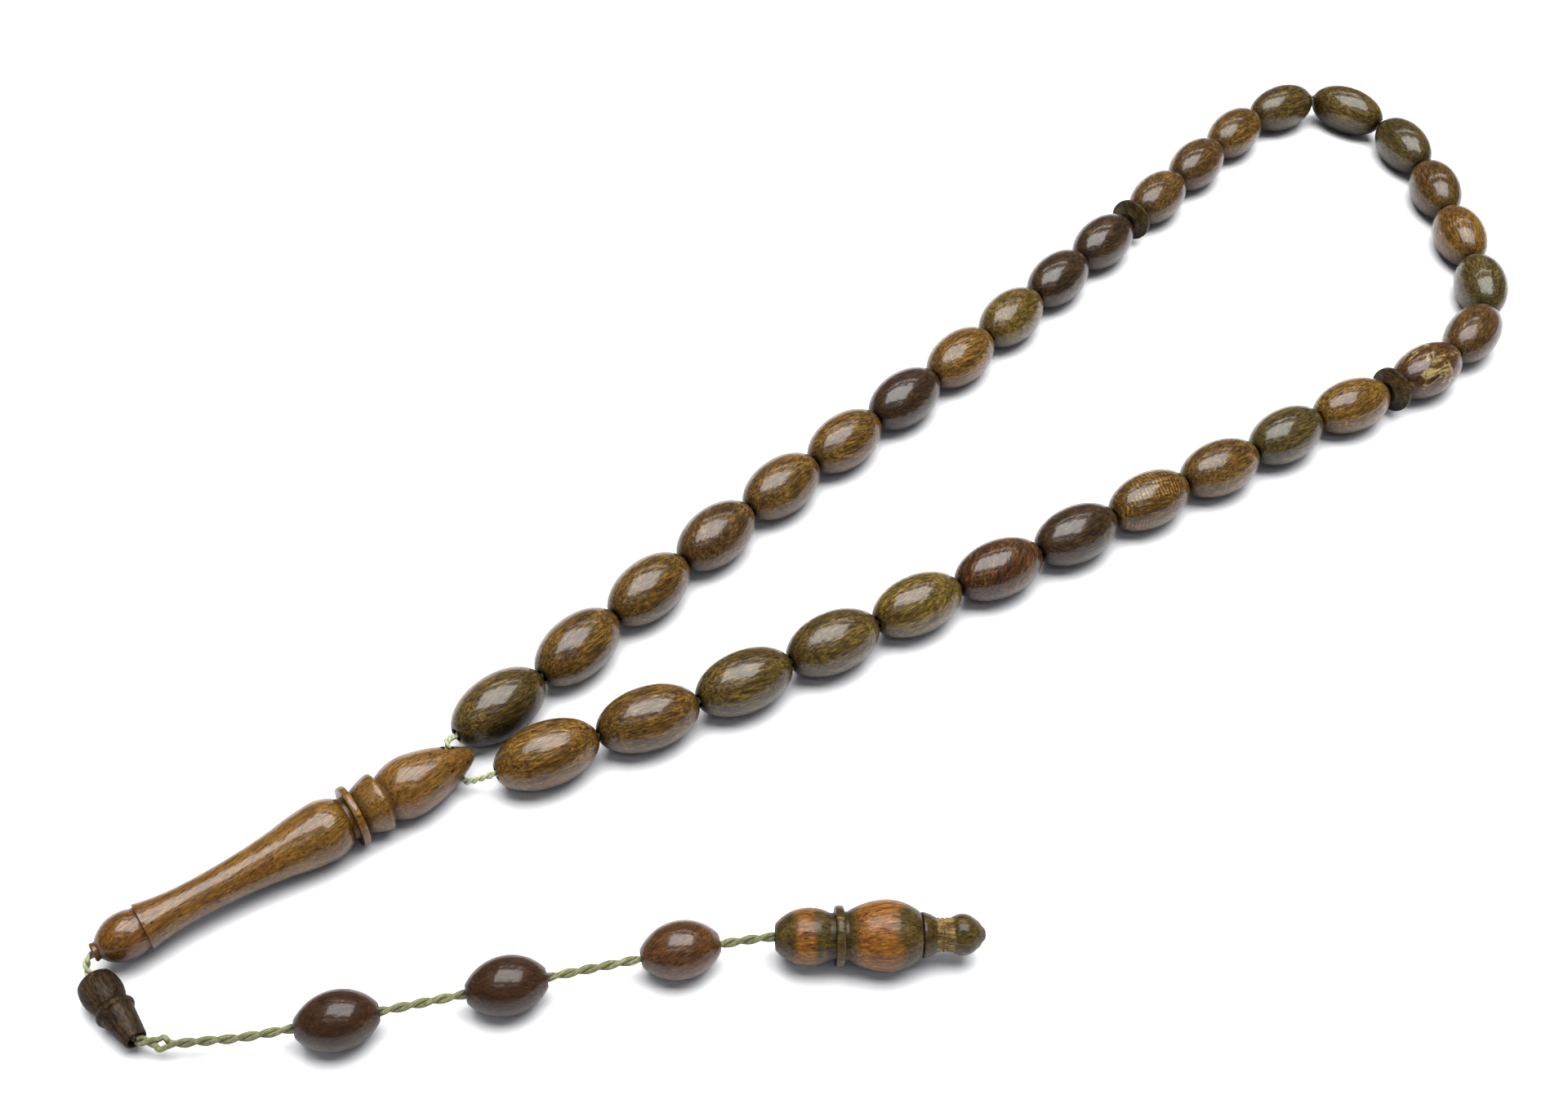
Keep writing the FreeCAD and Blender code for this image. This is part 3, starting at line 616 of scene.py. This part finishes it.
def spaced(line, step):
    """The line's points, read again at an even spacing."""
    stations = [0.0]
    for a, b in zip(line, line[1:]):
        stations.append(stations[-1] + (b - a).length)
    count = max(2, round(stations[-1] / step))
    points, run = [], 0
    for i in range(count + 1):
        s = stations[-1] * i / count
        while run < len(line) - 2 and stations[run + 1] < s:
            run += 1
        share = (s - stations[run]) / max(stations[run + 1] - stations[run], 1e-9)
        points.append(line[run].lerp(line[run + 1], share))
    return points


def frames_along(points):
    """Sideways and upward directions carried along a line without twist."""
    up = Vector((0, 0, 1))
    result = []
    for i in range(len(points)):
        tangent = (points[min(i + 1, len(points) - 1)] - points[max(i - 1, 0)]).normalized()
        up = (up - tangent * up.dot(tangent)).normalized()
        result.append((tangent.cross(up), up))
    return result


def lay_strands(name, points, dia, pitch, turn=0.0, widen=None, sides=3):
    """Two strands twisted round a line, as one mesh. `widen` gives how far the strands part
    and how much they twist at each share of the length."""
    step = (points[1] - points[0]).length
    axes = frames_along(points)
    strands = []
    for strand in range(2):
        curve = bpy.data.curves.new(f"{name}_{strand}", "CURVE")
        curve.dimensions = "3D"
        curve.bevel_depth = dia * .27
        curve.bevel_resolution = sides
        curve.use_fill_caps = True
        spline = curve.splines.new("POLY")
        spline.points.add(len(points) - 1)
        angle = turn + strand * math.pi
        for i, (point, (side, up)) in enumerate(zip(points, axes)):
            apart, twist = widen(i / (len(points) - 1)) if widen else (0, 1)
            reach = dia * .23 + apart / 2
            place = point + (side * math.cos(angle) + up * math.sin(angle)) * reach
            spline.points[i].co = (*place, 1)
            angle += 2 * math.pi * step / pitch * twist
        holder = bpy.data.objects.new(curve.name, curve)
        bpy.context.scene.collection.objects.link(holder)
        strands.append(holder)
    bpy.ops.object.select_all(action="DESELECT")
    for holder in strands:
        holder.select_set(True)
    bpy.context.view_layer.objects.active = strands[0]
    bpy.ops.object.convert(target="MESH")
    bpy.ops.object.join()
    cord = bpy.context.object
    cord.name = cord.data.name = name
    bpy.ops.object.mode_set(mode="EDIT")
    bpy.ops.mesh.select_all(action="SELECT")
    bpy.ops.mesh.remove_doubles(threshold=.0001 * MM)
    bpy.ops.mesh.normals_make_consistent(inside=False)
    bpy.ops.object.mode_set(mode="OBJECT")
    bpy.ops.object.shade_smooth()
    lay_grain(cord, name)
    return cord


# --- Operators --------------------------------------------------------------------------

class MISBAHA_OT_camera(bpy.types.Operator):
    """Place the camera above the tail end, looking down along the loop"""
    bl_idname = "misbaha.camera"
    bl_label = "Camera"

    def execute(self, context):
        turn = (Matrix.Rotation(math.radians(VIEW_TURN), 3, "Z")
                @ Matrix.Rotation(math.radians(CAMERA_TILT), 3, "X")
                @ Matrix.Rotation(math.radians(CAMERA_ROLL), 3, "Z"))
        bpy.ops.object.select_all(action="DESELECT")
        bpy.ops.object.camera_add(location=CAMERA_PLACE, rotation=turn.to_euler())
        camera = context.object
        camera.data.sensor_width = CAMERA_SENSOR
        camera.data.lens = CAMERA_LENS
        camera.data.clip_start, camera.data.clip_end = .005, 20
        context.scene.camera = camera
        return {"FINISHED"}


class MISBAHA_OT_loop_cord(bpy.types.Operator):
    """Lay the twisted cord of the loop through every bead"""
    bl_idname = "misbaha.loop_cord"
    bl_label = "Loop cord"

    def execute(self, context):
        sizes, colours, _ = settings()
        points = spaced(route_line("loop_route", LOOP_ROUTE), sizes.cord_pitch / 9)
        cord = lay_strands("loop_cord_laid", points, sizes.cord_dia, sizes.cord_pitch, sides=2)
        finish_piece(cord, yarn("yarn_loop", colours.loop_cord), "root", "loop_cord", "loop_cord")
        return {"FINISHED"}


class MISBAHA_OT_link_cord(bpy.types.Operator):
    """Lay the short cord between the imame and the stopper, and the cord inside them"""
    bl_idname = "misbaha.link_cord"
    bl_label = "Link cord"

    def execute(self, context):
        sizes, colours, _ = settings()
        material = yarn("yarn_loop", colours.loop_cord)
        points = spaced(route_line("link_route", LINK_ROUTE), sizes.cord_pitch / 18)
        link = lay_strands("link_cord_laid", points, sizes.cord_dia, sizes.cord_pitch)
        finish_piece(link, material, None, "loop_cord", "link_cord")
        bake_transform(link)
        for node, towards in (("imame_cord", (-1, 0, 0)), ("stopper_cord", (0, -1, 0))):
            start, along = turning_line(node, towards)
            low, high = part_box(node)
            length = (high - low).length * .985
            line = spaced([start, start + along * length], sizes.cord_pitch / 9)
            core = lay_strands(node + "_laid", line, sizes.cord_dia, sizes.cord_pitch, sides=2)
            finish_piece(core, material, body_of(node), "loop_cord", node)
        return {"FINISHED"}


class MISBAHA_OT_tail_cord(bpy.types.Operator):
    """Lay the tail's twisted cord, with the small eye below the stopper"""
    bl_idname = "misbaha.tail_cord"
    bl_label = "Tail cord"

    def execute(self, context):
        sizes, colours, _ = settings()
        material = yarn("yarn_tail", colours.tail_cord)
        step = sizes.tail_pitch / 22

        def eye_shape(share):
            """Strands twisted at the neck, then parted round the eye's small hole."""
            near = max(0.0, 1 - abs(share - .79) / .21)
            opening = near * near * (3 - 2 * near)
            return (sizes.eye_width - sizes.tail_cord_dia * .5) * opening, 0 if share > .58 else 1.6

        eye_points = spaced(route_line("eye_route", EYE_ROUTE), step / 2)
        count = sum(1 for i in range(len(eye_points)) if i / (len(eye_points) - 1) <= .58)
        neck_turn = 2 * math.pi * count * step / 2 / sizes.tail_pitch * 1.6
        eye = lay_strands("tail_eye_laid", eye_points, sizes.tail_cord_dia * 1.1, sizes.tail_pitch,
                          turn=-neck_turn, widen=eye_shape)
        finish_piece(eye, material, "tail", "tail_cord", "tail_eye")
        points = spaced(route_line("tail_route", TAIL_ROUTE), step)
        cord = lay_strands("tail_cord_laid", points, sizes.tail_cord_dia, sizes.tail_pitch)
        finish_piece(cord, material, "tail", "tail_cord", "tail_cord")
        return {"FINISHED"}


class MISBAHA_OT_beads(bpy.types.Operator):
    """Turn one olive bead and thread a copy of it at each bead's place on the loop"""
    bl_idname = "misbaha.beads"
    bl_label = "Loop beads"

    def execute(self, context):
        sizes, _, look = settings()
        blank = turn_on_lathe("bead_blank", bead_outline(
            sizes.bead_length, sizes.bead_dia, sizes.bead_face, sizes.bore, sizes.bore_edge,
            look.arc_steps * 3))
        for number, kind in enumerate(BEAD_WOODS, 1):
            node = f"bead_{number:02d}"
            pick = random.Random(f"bead {number}")
            bead = copy_of(blank, node + "_turned")
            lay_grain(bead, node, slant=48 if kind == "slanted" else pick.uniform(-20, 20))
            uneven = sizes.hand_turning
            stretch = (1 - pick.uniform(0, uneven / 3), *[1 - pick.uniform(0, uneven)] * 2)
            put(bead, *spin_line(node), stretch)
            finish_piece(bead, bead_wood(kind), node, slot_of(node), node)
        bpy.data.objects.remove(blank)
        return {"FINISHED"}


class MISBAHA_OT_dividers(bpy.types.Operator):
    """Turn the two thin discs that part the beads into three groups"""
    bl_idname = "misbaha.dividers"
    bl_label = "Dividers"

    def execute(self, context):
        _, colours, look = settings()
        for node in ("divider_1", "divider_2"):
            disc = turn_on_lathe(
                node + "_turned", outline_points(DIVIDER_OUTLINE, look.arc_steps), .05 * MM)
            lay_grain(disc, node, slant=80)
            put(disc, *spin_line(node))
            material = wood("wood_divider", colours.disc, polish=.5, wax=.12)
            finish_piece(disc, material, node, slot_of(node), node)
        return {"FINISHED"}


class MISBAHA_OT_imame(bpy.types.Operator):
    """Turn the long leader piece and drill its cross hole"""
    bl_idname = "misbaha.imame"
    bl_label = "Imame"

    def execute(self, context):
        _, colours, look = settings()
        imame = turn_on_lathe(
            "imame_turned", outline_points(IMAME_OUTLINE, look.arc_steps), .06 * MM)
        bpy.ops.object.select_all(action="DESELECT")
        bpy.ops.mesh.primitive_cylinder_add(
            vertices=32, radius=CROSS_HOLE_RADIUS, depth=DRILL_LENGTH,
            location=(CROSS_HOLE_STATION, 0, 0),
            rotation=(math.radians(90 - CROSS_HOLE_TILT), 0, 0))
        drill = context.object
        cut = imame.modifiers.new("cross hole", "BOOLEAN")
        cut.operation, cut.solver, cut.object = "DIFFERENCE", "EXACT", drill
        bpy.context.view_layer.objects.active = imame
        bpy.ops.object.modifier_apply(modifier=cut.name)
        bpy.data.objects.remove(drill)
        lay_grain(imame, "imame", slant=13)
        put(imame, *turning_line("imame", (-1, 0, 0)))
        material = wood("wood_imame", colours.leader, warm=colours.leader_warm, contrast=.6,
                        figure=.3)
        finish_piece(imame, material, "root", slot_of("imame"), "imame")
        return {"FINISHED"}


class MISBAHA_OT_stopper(bpy.types.Operator):
    """Turn the small dark stopper between the imame and the tail"""
    bl_idname = "misbaha.stopper"
    bl_label = "Stopper"

    def execute(self, context):
        _, colours, look = settings()
        stopper = turn_on_lathe(
            "stopper_turned", outline_points(STOPPER_OUTLINE, look.arc_steps), .06 * MM)
        lay_grain(stopper, "stopper", slant=4)
        put(stopper, *turning_line("stopper", (0, -1, 0)))
        material = wood("wood_stopper", colours.ebony, polish=.55, wax=.05)
        finish_piece(stopper, material, "stopper", slot_of("stopper"), "stopper")
        return {"FINISHED"}


class MISBAHA_OT_tail_beads(bpy.types.Operator):
    """Turn the three small beads of the tail"""
    bl_idname = "misbaha.tail_beads"
    bl_label = "Tail beads"

    def execute(self, context):
        _, colours, look = settings()
        blank = turn_on_lathe(
            "tail_bead_blank", outline_points(TAIL_BEAD_OUTLINE, look.arc_steps * 3))
        for number in (1, 2, 3):
            node = f"tail_bead_{number}"
            low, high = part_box(node)
            joint = next(j for j in frame["joints"] if j["child"] == node)
            bead = copy_of(blank, node + "_turned")
            lay_grain(bead, node, slant=6 * number)
            put(bead, (low + high) / 2, Vector(joint["axis"]))
            material = wood("wood_tail_bead", colours.walnut, polish=.40, wax=.45,
                            contrast=.55, figure=.3)
            if number == 3:
                material = wood("wood_tail_bead_warm", [c * 2.4 for c in colours.walnut],
                                wax=.6, contrast=.7)
            finish_piece(bead, material, node, slot_of(node), node)
        bpy.data.objects.remove(blank)
        return {"FINISHED"}


class MISBAHA_OT_finial(bpy.types.Operator):
    """Turn the finial's body and the cap glued into it"""
    bl_idname = "misbaha.finial"
    bl_label = "Finial"

    def execute(self, context):
        _, colours, look = settings()
        start, along = turning_line("finial_body", (1, 0, 0))
        for node, outline in (("finial_body", FINIAL_OUTLINE), ("finial_cap", CAP_OUTLINE)):
            piece = turn_on_lathe(
                node + "_turned", outline_points(outline, look.arc_steps), .05 * MM)
            lay_grain(piece, node, slant=3)
            stations = [face.center.x / MM for face in piece.data.polygons]
            belly = piece.data.attributes.new("belly", "FLOAT", "POINT")
            for vertex, value in zip(piece.data.vertices, belly.data):
                away = [(vertex.co.x / MM - at) / reach for at, reach in FINIAL_BULBS]
                value.value = .75 * max(math.exp(-part * part) for part in away)
            put(piece, start, along)
            material = wood("wood_finial", colours.finial, warm=colours.finial_warm, polish=.42,
                            wax=.3, contrast=.7, bulbs=True)
            finish_piece(piece, material, "finial", slot_of(node), node)
            piece.data.materials.append(wood("wood_raw", colours.raw, polish=.6, wax=0))
            piece.data.materials.append(wood("wood_stopper", colours.ebony, polish=.55, wax=.05))
            for face, station in zip(piece.data.polygons, stations):
                dark = CAP_SEAM[0] < station < CAP_SEAM[1]
                bare = BARE_NECK[0] < station < BARE_NECK[1]
                face.material_index = 2 if dark else 1 if bare else 0
        knot = frame["nodes"]["end_knot"]
        knot.data.materials.clear()
        knot.data.materials.append(yarn("yarn_tail", colours.tail_cord))
        return {"FINISHED"}


class MISBAHA_OT_stage(bpy.types.Operator):
    """Lay the pale table top and hang the soft light over it"""
    bl_idname = "misbaha.stage"
    bl_label = "Stage"

    def execute(self, context):
        _, colours, look = settings()
        bpy.ops.object.select_all(action="DESELECT")
        bpy.ops.mesh.primitive_plane_add(size=6, location=(0, 0, CAD_BOX[0].z - .02 * MM))
        floor = context.object
        floor.name = "table_top"
        material, _, surface = new_material("table_top")
        surface.inputs["Base Color"].default_value = (*colours.floor, 1)
        surface.inputs["Roughness"].default_value = .55
        floor.data.materials.append(material)
        facing = Matrix.Rotation(math.radians(VIEW_TURN), 4, "Z")
        for name, size, place, power in (
                ("softbox", (.52, .38), (0, .05, .46), look.softbox_power),
                ("far_strip", (.62, .022), (0, .42, .46), look.softbox_power * .14),
                ("near_strip", (.62, .022), (0, -.30, .46), look.softbox_power * .05)):
            bpy.ops.object.light_add(type="AREA")
            light = context.object
            light.name = name
            light.data.shape = "RECTANGLE"
            light.data.size, light.data.size_y = size
            light.data.energy = power
            light.matrix_world = facing @ Matrix.Translation(place)
        world = bpy.data.worlds.new("studio")
        world.use_nodes = True
        world.node_tree.nodes["Background"].inputs["Color"].default_value = (.84, .88, 1, 1)
        world.node_tree.nodes["Background"].inputs["Strength"].default_value = look.sky_strength
        context.scene.world = world
        context.scene.view_settings.view_transform = "Standard"
        return {"FINISHED"}


STEPS = (
    MISBAHA_OT_camera, MISBAHA_OT_loop_cord, MISBAHA_OT_link_cord, MISBAHA_OT_tail_cord,
    MISBAHA_OT_beads, MISBAHA_OT_dividers, MISBAHA_OT_imame, MISBAHA_OT_stopper,
    MISBAHA_OT_tail_beads, MISBAHA_OT_finial, MISBAHA_OT_stage,
)


class MISBAHA_PT_panel(bpy.types.Panel):
    """Sidebar panel that lists the steps, sizes and colours"""
    bl_idname = "MISBAHA_PT_panel"
    bl_label = "Misbaha"
    bl_space_type = "VIEW_3D"
    bl_region_type = "UI"
    bl_category = "Misbaha"

    def draw(self, context):
        layout = self.layout
        for step in STEPS:
            layout.operator(step.bl_idname)
        for group in settings():
            box = layout.box()
            for name in group.bl_rna.properties.keys():
                if name not in ("rna_type", "name"):
                    box.prop(group, name)


GROUPS = {
    "misbaha_sizes": MisbahaSizes, "misbaha_colours": MisbahaColours, "misbaha_look": MisbahaLook,
}


def register():
    """Registers the property groups, the operators and the panel."""
    for name, group in GROUPS.items():
        bpy.utils.register_class(group)
        setattr(bpy.types.Scene, name, PointerProperty(type=group))
    for item in (*STEPS, MISBAHA_PT_panel):
        bpy.utils.register_class(item)


def unregister():
    """Takes back what register did."""
    for item in (MISBAHA_PT_panel, *reversed(STEPS)):
        bpy.utils.unregister_class(item)
    for name, group in GROUPS.items():
        delattr(bpy.types.Scene, name)
        bpy.utils.unregister_class(group)


def main():
    """Builds every piece in order."""
    register()
    for step in STEPS:
        group, name = step.bl_idname.split(".")
        getattr(getattr(bpy.ops, group), name)()


if __name__ == "__main__":
    main()
